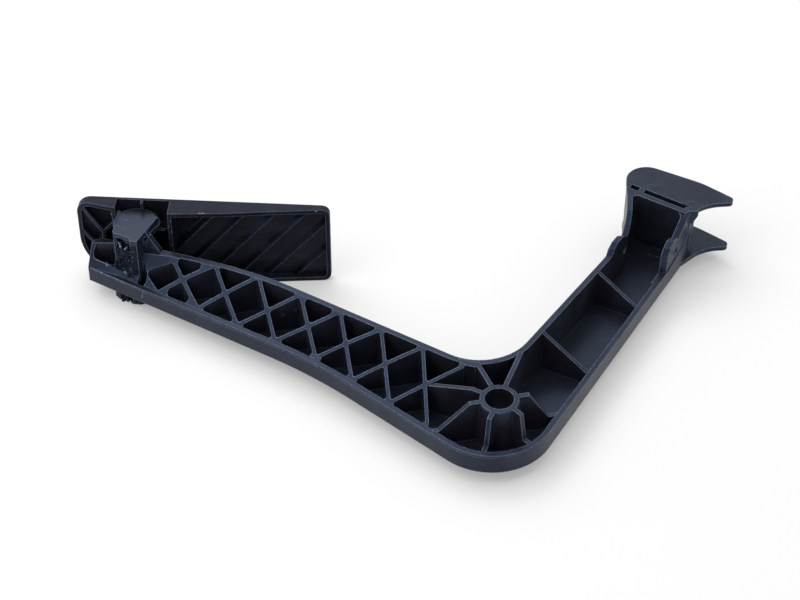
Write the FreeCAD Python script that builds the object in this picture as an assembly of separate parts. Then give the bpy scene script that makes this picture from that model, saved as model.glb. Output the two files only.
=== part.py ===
"""Accelerator pedal: a moulded lattice arm on a pivot bore, with a hinged foot pad at its tip.

Frame: millimetres, Z up along the pivot bore, origin on the bore axis at the arm's underside.
The lattice leg runs left (-X) and back (+Y), the upper leg runs right and back to the fork.
"""
import FreeCAD, Part
import math
import os

V = FreeCAD.Vector

# Pivot boss
BORE_R = 7.4
BOSS_R = 10.2
BOSS_FOOT_R = 12.4
ARM_H = 27.5
FLOOR_T = 2.5
BOSS_RIB_T = 2.4
BOSS_RIB_REACH = 15.4
BOSS_TALL_RIBS = (70.0, 112.0)
BOSS_LEG_RIB = 152.0
BOSS_LOW_RIBS = ((12.0, 5.0), (192.0, 1.6), (249.0, 4.2), (314.0, 3.4))
BOSS_TOP_CHAMFER = 0.5
JOIN = 1.0

# Solid corner where the last lattice rib and a boss rib meet the inner wall
GORE = [(-20.0, 29.3), (-19.3, 26.0), (-16.6, 24.3), (-11.2, 22.6), (-9.4, 25.6), (-15.5, 27.9)]

# Heights of the low outer wall and of the tall inner wall
RIM_H = 11.8
RIM_H_TIP = 9.5
RIM_H_HEAD = 10.2
RIM_FALL_Y = (-10.0, 60.0)
INNER_H_TIP = 24.0
INNER_H_HEAD = 24.8
OUTER_WALL_T = 3.0
INNER_WALL_T = 3.0

# Plan corners of the outer wall, from the tip to the head, and the radius at each bend
TIP_FRONT = (-220.3, 120.2)
OUTER_BEND = (-95.7, 45.0)
OUTER_BEND_R = 300.0
OUTER_CORNER = (5.0, -43.6)
OUTER_CORNER_R = 33.4
HEAD_FRONT = (110.2, 139.3)

# Plan corners of the inner wall, from the hinge to the head
INNER_START = (-183.0, 119.1)
INNER_BEND = (-127.9, 99.8)
INNER_BEND_R = 250.0
INNER_CORNER = (-0.3, 17.4)
INNER_CORNER_R = 28.5
EAR_BACK = (73.3, 129.9)
EAR_BEND_R = 40.0
HEAD_BACK = (75.3, 152.0)

# Lattice leg: straight centre lines on both sides of a slight bend
LATTICE_NEAR = (-35.7, 19.0)
LATTICE_BEND = (-111.6, 71.7)
LATTICE_TIP_ANGLE = 152.8
LATTICE_PITCH = 25.5
LATTICE_END_GAP = 2.2
LATTICE_RIB_T = 1.7
DIAMOND_R = 1.2
TRIANGLE_R = 1.9
TOP_SHELF = 0.6
TIP_SHELF = 3.6

# Upper leg cross ribs, by their distance from the outer corner along the outer wall
CROSS_RIBS = (90.5, 149.0)
CROSS_RIB_T = 2.0

# Forked head, with its corners in plan
HEAD_H = 34.5
PRONG_T = 2.7
HEAD_WALL_T = 4.2
HEAD_INSET = 0.6
HEAD_START_Y = 106.0
LEDGE = [(117.0, 10.2), (125.0, 12.0), (133.0, 14.0), (137.3, 20.0), (137.8, 28.0), (139.5, 34.5)]
LEFT_EAR = [(111.6, 24.8), (113.4, 28.6), (116.6, 30.7), (121.5, 30.7), (126.4, 26.2), (139.0, 34.5)]
RIGHT_EAR = [(114.6, 10.2), (115.2, 21.5), (117.4, 25.6), (121.0, 27.4), (123.6, 27.0), (126.2, 24.4),
             (139.5, 34.5)]
EAR_HOLE_R = 2.0
EAR_HOLE_Y = 124.6
EAR_HOLE_Z = 18.0
POCKET_END = [(105.6, 136.1), (75.3, 155.1)]
POCKET_R = 2.4
FORK_BACK = [(76.2, 165.4), (112.0, 141.8)]
PRONG_CORNERS = [(76.8, 183.9), (117.5, 161.9), (137.5, 145.4), (119.3, 144.1)]
PRONG_RADII = [12.0, 40.0, 2.8, 25.0]
PRONG_ROOTS = ((113.2, 139.6), (105.5, 131.1))
FORK_NUB = ((107.5, 139.5), (113.2, 139.5))
FORK_NUB_T = 3.5
FORK_NUB_H = (25.0, 31.2)
LONG_SLOT = ((85.0, 155.1), (109.9, 139.0))
SHORT_SLOT = ((77.9, 159.6), (82.3, 156.7))
SLOT_W = 3.5
SLOT_FLOOR = 4.0

# Hinge at the tip: heights of the two journals and of the cap, and plan corners from its axis
HINGE = (-192.5, 124.2)
BARREL_R = 9.0
JOURNAL_R = 5.6
CAP_CENTRE = (-0.2, 1.2)
CAP_R = 11.8
CAP_FRONT = [(-12.0, 1.2), (-10.8, -7.7), (-2.4, -11.8), (-1.9, -14.3), (1.7, -15.1), (11.4, 5.7)]
CAP_T = 2.6
POST_H = 37.0
LUG_T = 3.2
AXIAL_GAP = 0.3
RUNNING_GAP = 0.08
BARREL_H = POST_H - CAP_T - LUG_T - 2 * AXIAL_GAP
SLOT_R = 9.8
LEFT_JAMB_T = 1.5
LEFT_JAMB_W = 9.0
LEFT_JAMB_TOP_W = 3.0
RIGHT_JAMB = [(-2.4, -11.8), (-1.9, -14.3), (1.7, -15.1), (6.6, -4.6), (2.0, -6.5), (-2.4, -8.0)]
GUSSET_FROM = -3.0
GUSSET_TO = 5.5
STUB_H = 8.0

# Boxed tip: plan corners, from the front round to the hinge post
TIP_END_BACK = (-216.4, 128.4)
TIP_BACK = (-212.6, 129.9)
TIP_BACK_END = (-201.5, 126.6)
TIP_H = 22.0
TIP_POCKET = [(-217.9, 122.3), (-214.9, 126.0), (-204.8, 125.4), (-204.8, 116.9)]
SMALL_POCKET = [(-192.2, 106.8), (-190.2, 112.6), (-187.9, 112.6), (-186.3, 107.6), (-187.3, 105.2),
                (-189.6, 104.4)]
FIRST_CELL = (-187.4, 109.2)
TIP_CORNERS_R = (2.5, 1.5)
TIP_POCKET_R = 1.6
SMALL_POCKET_R = 1.0

# Foot pad, in its own plan: u along it from the hinge axis, w towards the tread
PAD_ANGLE = -3.6
PAD_LEFT = -34.0
PAD_RIGHT = 104.2
PAD_TOP = 42.5
PAD_BOTTOM = -8.0
PAD_FACE = 16.0
PAD_RIM = [(-34.0, 11.0), (-13.3, 6.3), (6.0, 2.9), (20.0, 2.8), (45.0, 4.7), (73.5, 8.2), (104.2, 11.6)]
PAD_WALL = 2.4
PAD_TREAD = 2.2
PAD_CORNERS_R = (25.0, 4.5, 4.5, 8.0)
PAD_EDGE_R = 1.2
PAD_BAY = (-13.0, 18.0)
PAD_PARTITION_T = 2.0
BAY_WEB_U = 2.0
BAY_WEB_T = 1.3
BAY_WEB_GAP = 0.6
BAY_WEB_DEPTH = 3.0
BAY_SHELF = (26.0, 1.6, 8.0)
BAY_NOTCH_DEPTH = 2.9
RIDGE_FIRST = (40.3, 33.6)
RIDGE_COUNT = 6
RIDGE_PITCH = 15.7
RIDGE_ANGLE = 49.5
RIDGE_H = 1.7
RIDGE_SINK = 0.2
TOE_RIB_T = 1.8
TOE_RIB_W = 8.6
TOE_RIBS = [((-32.0, 39.8), (-20.0, 23.0)), ((-13.0, 30.6), (-20.0, 23.0)),
            ((-20.0, 23.0), (-21.0, -7.0)), ((-33.0, 22.6), (-25.0, 13.4))]
RING_R = 9.3
RING_SPLIT = (-124.0, -98.0)
PAD_OVER = 20.0
UPPER_LUG = [(8.6, 14.6), (12.3, 6.2), (12.3, 3.7), (9.1, -1.2), (-9.2, 1.3), (-8.9, 8.4), (-13.2, 11.6),
             (-11.3, 14.6)]
FOOT_RING_R = 13.8
FOOT_LUG_H = 7.0
FOOT_FINGERS = (-92.0, -136.0)
FOOT_FINGER_START = 8.0
FOOT_FINGER_REACH = 15.9
FOOT_FINGER_T = 4.2
FOOT_FINGER_H = 3.5


def polar(point, angle, length):
    """The plan point at a length and an angle in degrees from another one."""
    a = math.radians(angle)
    return (point[0] + length * math.cos(a), point[1] + length * math.sin(a))


def direction(a, b):
    """Unit vector from a to b, and its left normal."""
    length = math.hypot(b[0] - a[0], b[1] - a[1])
    d = ((b[0] - a[0]) / length, (b[1] - a[1]) / length)
    return d, (-d[1], d[0])


def meet(p, d, q, e):
    """Where the line through p along d meets the line through q along e."""
    cross = d[0] * e[1] - d[1] * e[0]
    t = ((q[0] - p[0]) * e[1] - (q[1] - p[1]) * e[0]) / cross
    return (p[0] + d[0] * t, p[1] + d[1] * t)


def offset_chain(points, radii, distance):
    """An open chain of corners moved to its left, with the bend radii that keep it parallel."""
    moved = []
    new_radii = []
    for i, p in enumerate(points):
        before = direction(points[i - 1], p) if i > 0 else None
        after = direction(p, points[i + 1]) if i < len(points) - 1 else None
        if before and after:
            n1, n2 = before[1], after[1]
            k = distance / (1.0 + n1[0] * n2[0] + n1[1] * n2[1])
            moved.append((p[0] + (n1[0] + n2[0]) * k, p[1] + (n1[1] + n2[1]) * k))
            left_turn = before[0][0] * after[0][1] - before[0][1] * after[0][0] > 0
            new_radii.append(radii[i] - distance if left_turn else radii[i] + distance)
        else:
            n = (before or after)[1]
            moved.append((p[0] + n[0] * distance, p[1] + n[1] * distance))
            new_radii.append(0.0)
    return moved, new_radii


def chain_edges(points, radii, closed=False):
    """Line and arc edges through corner points, each corner rounded by its radius."""
    count = len(points)
    ends = []
    for i, p in enumerate(points):
        inner = closed or 0 < i < count - 1
        if not inner or radii[i] <= 0.0:
            ends.append((p, None, p))
            continue
        a, b = points[i - 1], points[(i + 1) % count]
        d1 = direction(p, a)[0]
        d2 = direction(p, b)[0]
        half = math.acos(max(-1.0, min(1.0, d1[0] * d2[0] + d1[1] * d2[1]))) / 2.0
        reach = radii[i] / math.tan(half)
        mid_d = direction((0, 0), (d1[0] + d2[0], d1[1] + d2[1]))[0]
        mid = radii[i] / math.sin(half) - radii[i]
        ends.append(((p[0] + d1[0] * reach, p[1] + d1[1] * reach),
                     (p[0] + mid_d[0] * mid, p[1] + mid_d[1] * mid),
                     (p[0] + d2[0] * reach, p[1] + d2[1] * reach)))
    edges = []
    for i in range(count):
        start, mid, end = ends[i]
        if mid:
            edges.append(Part.Arc(V(*start, 0), V(*mid, 0), V(*end, 0)).toShape())
        if closed or i < count - 1:
            following = ends[(i + 1) % count][0]
            if math.dist(end, following) > 1e-6:
                edges.append(Part.makeLine(V(*end, 0), V(*following, 0)))
    return edges


def plate(points, radii, z0, z1):
    """A plate with a rounded outline between two heights."""
    if not isinstance(radii, (list, tuple)):
        radii = [radii] * len(points)
    face = Part.Face(Part.Wire(chain_edges(points, radii, closed=True)))
    face.translate(V(0, 0, z0))
    return face.extrude(V(0, 0, z1 - z0))


def band(points, radii, thickness, z0, z1):
    """A wall that follows a chain of corners and lies on its left."""
    other, other_radii = offset_chain(points, radii, thickness)
    near = chain_edges(points, radii)
    far = chain_edges(other, other_radii)
    caps = [Part.makeLine(V(*points[0], 0), V(*other[0], 0)),
            Part.makeLine(V(*points[-1], 0), V(*other[-1], 0))]
    wire = Part.Wire(Part.__sortEdges__(near + far + caps))
    face = Part.Face(wire)
    face.translate(V(0, 0, z0))
    return face.extrude(V(0, 0, z1 - z0))


def upright(start, end, thickness, profile):
    """A straight upright plate from start to end, its side view given as (distance, height)."""
    d, n = direction(start, end)
    corners = [V(start[0] + d[0] * s - n[0] * thickness / 2,
                 start[1] + d[1] * s - n[1] * thickness / 2, z) for s, z in profile]
    face = Part.Face(Part.makePolygon(corners + corners[:1]))
    return face.extrude(V(n[0] * thickness, n[1] * thickness, 0))


def side_cut(origin, angle, profile, half_width):
    """A wide prism across a direction, used to trim tops to a side view profile."""
    a = math.radians(angle)
    d = V(math.cos(a), math.sin(a), 0)
    n = V(-math.sin(a), math.cos(a), 0)
    base = V(*origin, 0) - n * half_width
    corners = [base + d * s + V(0, 0, z) for s, z in profile]
    face = Part.Face(Part.makePolygon(corners + corners[:1]))
    return face.extrude(n * (2 * half_width))


def cylinder(radius, z0, z1, centre=(0.0, 0.0)):
    """An upright cylinder between two heights."""
    return Part.makeCylinder(radius, z1 - z0, V(*centre, z0))


OUTER_CHAIN = [TIP_FRONT, OUTER_BEND, OUTER_CORNER, HEAD_FRONT]
OUTER_RADII = [0.0, OUTER_BEND_R, OUTER_CORNER_R, 0.0]
INNER_CHAIN = [HEAD_BACK, EAR_BACK, INNER_CORNER, INNER_BEND, INNER_START]
INNER_RADII = [0.0, EAR_BEND_R, INNER_CORNER_R, INNER_BEND_R, 0.0]
LEG_ANGLE = math.degrees(math.atan2(INNER_BEND[1] - INNER_CORNER[1], INNER_BEND[0] - INNER_CORNER[0]))
LEG_LENGTH = math.dist(INNER_CORNER, HINGE)
LEG_TIP_ANGLE = math.degrees(math.atan2(INNER_BEND[1] - INNER_START[1], INNER_BEND[0] - INNER_START[0]))
UPPER_ANGLE = math.degrees(math.atan2(HEAD_FRONT[1] - OUTER_CORNER[1], HEAD_FRONT[0] - OUTER_CORNER[0]))
OUTER_INSIDE = offset_chain(OUTER_CHAIN, OUTER_RADII, OUTER_WALL_T)[0]
INNER_INSIDE = offset_chain(INNER_CHAIN, INNER_RADII, INNER_WALL_T)[0]
SKY = 60.0
REACH = 400.0

# The lattice runs from the boss to just before the hinge axis, in whole crossings
LATTICE_STRAIGHT = math.dist(LATTICE_NEAR, LATTICE_BEND)
LATTICE_TURNED = math.dist(LATTICE_BEND, HINGE) - LATTICE_END_GAP
LATTICE_STATIONS = (LATTICE_STRAIGHT + LATTICE_TURNED) / LATTICE_PITCH
LATTICE_CROSSES = int(LATTICE_STATIONS)


def leg_share(point):
    """0 at the boss and 1 at the hinge, along the lattice leg."""
    d = polar((0.0, 0.0), LEG_ANGLE, 1.0)
    return max(0.0, (point[0] * d[0] + point[1] * d[1]) / LEG_LENGTH)


def inner_height(point):
    """Top of the tall inner wall beside a plan point of the lattice leg."""
    return ARM_H + (INNER_H_TIP - ARM_H) * leg_share(point)


def rim_height(point):
    """Top of the low outer wall beside a plan point of the lattice leg."""
    return RIM_H + (RIM_H_TIP - RIM_H) * leg_share(point)


def lattice_axis(station):
    """Centre line point of the lattice leg, counted in crossings from the boss."""
    along = station * LATTICE_PITCH
    near_angle = math.degrees(math.atan2(LATTICE_BEND[1] - LATTICE_NEAR[1],
                                         LATTICE_BEND[0] - LATTICE_NEAR[0]))
    if along <= LATTICE_STRAIGHT:
        return polar(LATTICE_NEAR, near_angle, along), near_angle
    return polar(LATTICE_BEND, LATTICE_TIP_ANGLE, along - LATTICE_STRAIGHT), LATTICE_TIP_ANGLE


def wall_point(station, chain):
    """Where the cross line of a lattice station meets one wall's inside, or its end run prolonged."""
    centre, angle = lattice_axis(station)
    across = polar((0.0, 0.0), angle + 90.0, 1.0)
    hits = []
    last = len(chain) - 2
    for i in range(last + 1):
        d = direction(chain[i], chain[i + 1])[0]
        hit = meet(centre, across, chain[i], d)
        along = (hit[0] - chain[i][0]) * d[0] + (hit[1] - chain[i][1]) * d[1]
        if (along >= 0.0 or i == 0) and (along <= math.dist(chain[i], chain[i + 1]) or i == last):
            hits.append(hit)
    return min(hits, key=lambda hit: math.dist(hit, centre))


def strip(a, b, width):
    """A flat strip along a line, lengthened past both ends."""
    return strip_face(a, b, width, 2 * width)


def strip_face(a, b, width, extra):
    """A flat strip along a line, lengthened at each end by a length."""
    d, n = direction(a, b)
    p = (a[0] - d[0] * extra, a[1] - d[1] * extra)
    q = (b[0] + d[0] * extra, b[1] + d[1] * extra)
    h = width / 2
    corners = [V(p[0] - n[0] * h, p[1] - n[1] * h, 0), V(q[0] - n[0] * h, q[1] - n[1] * h, 0),
               V(q[0] + n[0] * h, q[1] + n[1] * h, 0), V(p[0] + n[0] * h, p[1] + n[1] * h, 0)]
    return Part.Face(Part.makePolygon(corners + corners[:1]))


def lattice_posts():
    """Wall meeting points between the crossings, as (inner, outer) pairs from boss to tip."""
    stations = [k - 0.5 for k in range(LATTICE_CROSSES + 1)] + [LATTICE_STATIONS]
    return [(wall_point(s, INNER_INSIDE), wall_point(s, OUTER_INSIDE)) for s in stations]


def roof(sections):
    """What lies above a sloping top: (inner point, its height, shelf width, outer point, its height)."""
    wires = []
    for inner, high, shelf, outer, low in sections:
        d = direction(outer, inner)[0]
        back = (inner[0] + d[0] * JOIN, inner[1] + d[1] * JOIN)
        edge = (inner[0] - d[0] * shelf, inner[1] - d[1] * shelf)
        front = (outer[0] - d[0] * JOIN, outer[1] - d[1] * JOIN)
        corners = [V(*back, SKY), V(*back, high), V(*edge, high),
                   V(*outer, low), V(*front, low), V(*front, SKY)]
        wires.append(Part.makePolygon(corners + corners[:1]))
    return Part.makeLoft(wires, True, True)


def leg_section(post, shelf):
    """The roof's section at a pair of wall meeting points."""
    inner, outer = post
    return inner, inner_height(inner), shelf, outer, rim_height(outer)


def cell_cutter(cell, radius):
    """A lattice cell with rounded corners, cut from the floor up."""
    cell = cell.makeOffset2D(-radius).makeOffset2D(radius)
    cell.translate(V(0, 0, FLOOR_T))
    return cell.extrude(V(0, 0, SKY))


def lattice():
    """The leg's filling: a sloping block with rounded diamond and triangle cells cut to the floor."""
    posts = lattice_posts()
    inner = [p[0] for p in posts]
    outer = [p[1] for p in posts]
    outline = [V(*p, 0) for p in inner + outer[::-1]]
    field = Part.Face(Part.makePolygon(outline + outline[:1]))
    block = field.extrude(V(0, 0, ARM_H))
    boss_side = Part.makeLine(V(*inner[0], 0), V(*outer[0], 0))
    ribs = []
    for k in range(LATTICE_CROSSES):
        ribs.append(strip(inner[k], outer[k + 1], LATTICE_RIB_T))
        ribs.append(strip(outer[k], inner[k + 1], LATTICE_RIB_T))
    tip = [V(*p, 0) for p in (inner[-2], inner[-1], outer[-1], outer[-2])]
    ribs.append(Part.Face(Part.makePolygon(tip + tip[:1])))
    cutters = []
    for cell in field.cut(ribs).Faces:
        if cell.distToShape(boss_side)[0] < JOIN:
            cell.translate(V(0, 0, FLOOR_T))
            cutters.append(cell.extrude(V(0, 0, SKY)))
        else:
            cutters.append(cell_cutter(cell, TRIANGLE_R if len(cell.Edges) == 3 else DIAMOND_R))
    sections = [leg_section(post, TOP_SHELF) for post in posts[:-1]] + [leg_section(posts[-1], TIP_SHELF)]
    return block.cut(cutters + [roof(sections)]), posts


def arm_floor():
    """The floor plate under the whole arm."""
    inner = chain_edges(INNER_CHAIN, INNER_RADII)
    outer = chain_edges(OUTER_CHAIN, OUTER_RADII)
    caps = [Part.makeLine(V(*HEAD_FRONT, 0), V(*HEAD_BACK, 0)),
            Part.makeLine(V(*INNER_START, 0), V(*TIP_FRONT, 0))]
    face = Part.Face(Part.Wire(Part.__sortEdges__(inner + outer + caps)))
    return face.extrude(V(0, 0, FLOOR_T))


def above(start, high, end, low, origin, angle, half_width):
    """What lies above a top that falls from one height to another between two distances."""
    profile = [(start, high), (end, low), (REACH, low), (REACH, SKY), (start, SKY)]
    return side_cut(origin, angle, profile, half_width)


def arm_walls():
    """The low outer wall and the tall inner wall, with their tops falling towards tip and head."""
    fall, end = RIM_FALL_Y
    half = REACH / 2
    outer = band(OUTER_CHAIN, OUTER_RADII, OUTER_WALL_T, 0.0, RIM_H)
    outer = outer.cut([above(0.0, RIM_H, LEG_LENGTH, RIM_H_TIP, (0, 0), LEG_ANGLE, half),
                       above(fall, RIM_H, end, RIM_H_HEAD, (half, 0), 90.0, half)])
    inner = band(INNER_CHAIN, INNER_RADII, INNER_WALL_T, 0.0, ARM_H)
    inner = inner.cut([above(0.0, ARM_H, LEG_LENGTH, INNER_H_TIP, (0, 0), LEG_ANGLE, half),
                       above(INNER_CORNER_R, ARM_H, HEAD_START_Y, INNER_H_HEAD, (half, 0), 90.0, half)])
    return outer.fuse(inner)


def rim_distance(angle):
    """Distance from the bore to the inside of the outer wall along an angle."""
    edges = chain_edges(*offset_chain(OUTER_CHAIN, OUTER_RADII, OUTER_WALL_T))
    far = polar((0, 0), angle, REACH)
    ray = Part.makeLine(V(0, 0, 0), V(*far, 0))
    return min(ray.distToShape(e)[1][0][0].Length for e in edges if ray.distToShape(e)[0] < 1e-4)


def wall_distance(angle):
    """Distance from the bore to the inside of the inner wall along an angle."""
    edges = chain_edges(*offset_chain(INNER_CHAIN, INNER_RADII, INNER_WALL_T))
    far = polar((0, 0), angle, REACH)
    ray = Part.makeLine(V(0, 0, 0), V(*far, 0))
    return min(ray.distToShape(e)[1][0][0].Length for e in edges if ray.distToShape(e)[0] < 1e-4)


def boss():
    """The pivot boss: a tapered tube with seven ribs that step down to the outer wall."""
    parts = []
    for angle in BOSS_TALL_RIBS:
        reach = wall_distance(angle) + JOIN
        parts.append((angle, [(0, 0), (reach, 0), (reach, ARM_H), (0, ARM_H)]))
    reach = math.dist((0, 0), LATTICE_NEAR)
    middle = (inner_height(LATTICE_NEAR) + rim_height(LATTICE_NEAR)) / 2
    parts.append((BOSS_LEG_RIB, [(0, 0), (reach, 0), (reach, middle), (BOSS_RIB_REACH, ARM_H), (0, ARM_H)]))
    for angle, step in BOSS_LOW_RIBS:
        reach = rim_distance(angle)
        low = max(reach - step, BOSS_RIB_REACH + BOSS_RIB_T / 4)
        top = RIM_H_HEAD if angle < 90.0 else RIM_H
        parts.append((angle, [(0, 0), (reach + JOIN, 0), (reach + JOIN, top), (low, top),
                              (BOSS_RIB_REACH, ARM_H), (0, ARM_H)]))
    ribs = [upright((0, 0), polar((0, 0), angle, 1.0), BOSS_RIB_T, profile) for angle, profile in parts]
    low = ARM_H - BOSS_TOP_CHAMFER
    tube = Part.makeCone(BOSS_FOOT_R, BOSS_R, low)
    rim = Part.makeCone(BOSS_R, BOSS_R - BOSS_TOP_CHAMFER, BOSS_TOP_CHAMFER, V(0, 0, low))
    return tube.multiFuse([rim, plate(GORE, 0.0, 0.0, ARM_H)] + ribs)


def cross_rib(distance):
    """One sloping rib across the upper leg."""
    foot = polar(OUTER_CORNER, UPPER_ANGLE, distance)
    a, b = INNER_INSIDE[1], INNER_INSIDE[2]
    across = polar((0, 0), UPPER_ANGLE + 90.0, 1.0)
    top = meet(foot, across, a, direction(a, b)[0])
    span = math.dist(foot, top)
    share = (top[1] - INNER_CORNER_R) / (HEAD_START_Y - INNER_CORNER_R)
    high = ARM_H + (INNER_H_HEAD - ARM_H) * max(0.0, min(1.0, share))
    profile = [(JOIN, 0), (span + JOIN, 0), (span + JOIN, high), (span, high), (OUTER_WALL_T, RIM_H_HEAD),
               (JOIN, RIM_H_HEAD)]
    return upright(foot, top, CROSS_RIB_T, profile)


def head_wall(chain, radii, thickness, ear):
    """One side wall of the head: its ear, a dip, then the slope up to the fork."""
    wall = band(chain, radii, thickness, 0.0, HEAD_H)
    return wall.common(below_profile([(HEAD_START_Y, ear[0][1])] + ear))


def below_profile(tops):
    """The head's space under a side profile of tops, given as (y, height)."""
    profile = [(tops[0][0], 0), (REACH, 0), (REACH, HEAD_H)] + tops[::-1]
    return side_cut((REACH / 2, 0), 90.0, profile, REACH / 2)


def pocket_corners():
    """The rounded back corners of the head's pocket."""
    across = direction(*POCKET_END)[0]
    right = offset_chain(OUTER_CHAIN[2:], [0, 0], HEAD_WALL_T)[0]
    left = offset_chain(INNER_CHAIN[:2], [0, 0], INNER_WALL_T)[0]
    up = direction(*right)[0]
    down = direction(*left)[0]
    corners = [meet(POCKET_END[0], across, right[0], up), meet(POCKET_END[0], across, left[0], down)]

    def front(reach):
        return [(corners[1][0] + down[0] * reach, corners[1][1] + down[1] * reach),
                (corners[0][0] - up[0] * reach, corners[0][1] - up[1] * reach)]

    pocket = plate(corners + front(6 * POCKET_R), [POCKET_R, POCKET_R, 0, 0], FLOOR_T, SKY)
    filler = plate(POCKET_END + [HEAD_BACK] + front(2 * POCKET_R), 0.0, 0.0, HEAD_H)
    return filler.cut(pocket).common(below_profile([(HEAD_START_Y, RIGHT_EAR[0][1])] + RIGHT_EAR))


def prong_plate(roots, z0):
    """One prong plate of the fork, its outline ending in the given root corners."""
    outline = [POCKET_END[1]] + PRONG_CORNERS + roots + [POCKET_END[0]]
    radii = [0.0] + PRONG_RADII + [0.0] * (len(roots) + 1)
    return plate(outline, radii, z0, z0 + PRONG_T)


def head():
    """The forked head: side walls with ears, a slotted fork block and the two prong plates."""
    left = head_wall(INNER_CHAIN[:3], INNER_RADII[:3], INNER_WALL_T, LEFT_EAR)
    inset = offset_chain(OUTER_CHAIN[2:], [0, 0], HEAD_INSET)[0]
    right = head_wall(inset, [0, 0], HEAD_WALL_T - HEAD_INSET, RIGHT_EAR)
    ledge = band(OUTER_CHAIN[2:], [0, 0], HEAD_WALL_T, 0.0, HEAD_H).common(below_profile(LEDGE))
    inside = [POCKET_END[1]] + FORK_BACK + [HEAD_FRONT, POCKET_END[0]]
    block = plate(inside, 0.0, 0.0, HEAD_H)
    for start, end in (LONG_SLOT, SHORT_SLOT):
        slot = strip_face(start, end, SLOT_W, 0.0)
        slot.translate(V(0, 0, SLOT_FLOOR))
        block = block.cut(slot.extrude(V(0, 0, SKY)))
    upper = prong_plate([PRONG_ROOTS[0], HEAD_FRONT], HEAD_H - PRONG_T).cut(plate(inside, 0.0, 0.0, SKY))
    lower = prong_plate([PRONG_ROOTS[1]], 0.0)
    return [left, right, ledge, pocket_corners(), block, fork_nub(), upper, lower]


def fork_nub():
    """The small tapered gusset under the upper prong plate at the end of the right wall."""
    start, end = FORK_NUB
    low, high = FORK_NUB_H
    foot = math.dist(start, HEAD_FRONT)
    reach = math.dist(start, end)
    profile = [(0, low), (foot, low), (reach, high), (reach, HEAD_H), (0, HEAD_H)]
    return upright(start, end, FORK_NUB_T, profile)


def from_hinge(points):
    """Plan points given from the hinge axis, in the arm's frame."""
    return [(HINGE[0] + p[0], HINGE[1] + p[1]) for p in points]


def tip_block(posts):
    """The boxed tip: a sloping block round the hinge post, and the pockets to cut in it."""
    inner, outer = posts[-1]
    outside = [outer, TIP_FRONT, TIP_END_BACK, TIP_BACK, TIP_BACK_END, HINGE, INNER_START, inner]
    block = plate(outside, [0, 0, *TIP_CORNERS_R, 0, 0, 0, 0], 0.0, ARM_H)
    n = direction(TIP_FRONT, TIP_END_BACK)[1]
    end = ((TIP_END_BACK[0] + n[0], TIP_END_BACK[1] + n[1]), TIP_H, TIP_SHELF,
           (TIP_FRONT[0] + n[0], TIP_FRONT[1] + n[1]), RIM_H_TIP)
    back = (TIP_BACK_END[0], TIP_BACK[1])
    side = (back, TIP_H, TIP_SHELF, wall_point_at(back[0]), RIM_H_TIP)
    block = block.cut(roof([leg_section(posts[-1], TIP_SHELF), side, end]))
    return block, [first_cell(posts), plate(TIP_POCKET, TIP_POCKET_R, FLOOR_T, SKY),
                   plate(SMALL_POCKET, SMALL_POCKET_R, FLOOR_T, SKY)]


def first_cell(posts):
    """The odd cell between the last crossing and the hinge post."""
    before, last = posts[-3], posts[-2]
    crossing = meet(before[0], direction(before[0], last[1])[0], before[1], direction(before[1], last[0])[0])
    top = meet(FIRST_CELL, (1.0, 0.0), crossing, direction(crossing, last[0])[0])
    corners = [V(*p, 0) for p in (FIRST_CELL, top, crossing, last[1])]
    cell = Part.Face(Part.makePolygon(corners + corners[:1]))
    cell = cell.cut([strip(before[0], last[1], LATTICE_RIB_T), strip(before[1], last[0], LATTICE_RIB_T)])
    return cell_cutter(max(cell.Faces, key=lambda face: face.Area), DIAMOND_R)


def wall_point_at(x):
    """The point of the outer wall's inside near the tip with a given x."""
    a, b = OUTER_INSIDE[0], OUTER_INSIDE[1]
    return (x, a[1] + (b[1] - a[1]) * (x - a[0]) / (b[0] - a[0]))


def hinge_cap(corners):
    """The D-shaped cap: a round back, cut straight on its right, and a front with corners."""
    start, end = corners[-2:]
    d, n = direction(start, end)
    away = 2 * CAP_R
    side = [(start[0] - d[0] * away, start[1] - d[1] * away), (end[0] + d[0] * away, end[1] + d[1] * away)]
    side += [(p[0] - n[0] * away, p[1] - n[1] * away) for p in side[::-1]]
    low = POST_H - CAP_T
    disc = cylinder(CAP_R, low, POST_H, from_hinge([CAP_CENTRE])[0]).cut(plate(side, 0.0, 0.0, SKY))
    return disc.fuse(plate(corners, 0.0, low, POST_H))


def hinge_post():
    """The hinge post: barrel, journal and cap, with the jambs of its front window."""
    top = POST_H - CAP_T
    corners = from_hinge(CAP_FRONT)
    barrel = cylinder(BARREL_R, 0.0, BARREL_H, HINGE)
    journal = cylinder(JOURNAL_R, -STUB_H, top, HINGE)
    right = plate(from_hinge(RIGHT_JAMB), 0.0, 0.0, POST_H)
    left = upright(corners[1], corners[0], LEFT_JAMB_T, [(0, 0), (LEFT_JAMB_W, 0), (LEFT_JAMB_W, TIP_H),
                                                         (LEFT_JAMB_TOP_W, POST_H), (0, POST_H)])
    middle = offset_chain(INNER_CHAIN, INNER_RADII, INNER_WALL_T / 2)[0][-1]
    start = polar(middle, LEG_TIP_ANGLE, GUSSET_FROM)
    end = polar(middle, LEG_TIP_ANGLE, GUSSET_TO)
    length = GUSSET_TO - GUSSET_FROM
    gusset = upright(start, end, INNER_WALL_T, [(0, 0), (length, 0), (length, INNER_H_TIP), (0, POST_H)])
    slot = cylinder(SLOT_R, BARREL_H, top, HINGE)
    return barrel.multiFuse([right, left, gusset]).cut(slot).multiFuse([journal, hinge_cap(corners)])


def pad_plate(points, radii, w0, w1):
    """A plate with its outline in the pad's face, between two depths w."""
    shape = plate(points, radii, -w1, -w0)
    shape.rotate(V(0, 0, 0), V(1, 0, 0), 90)
    return shape


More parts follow.
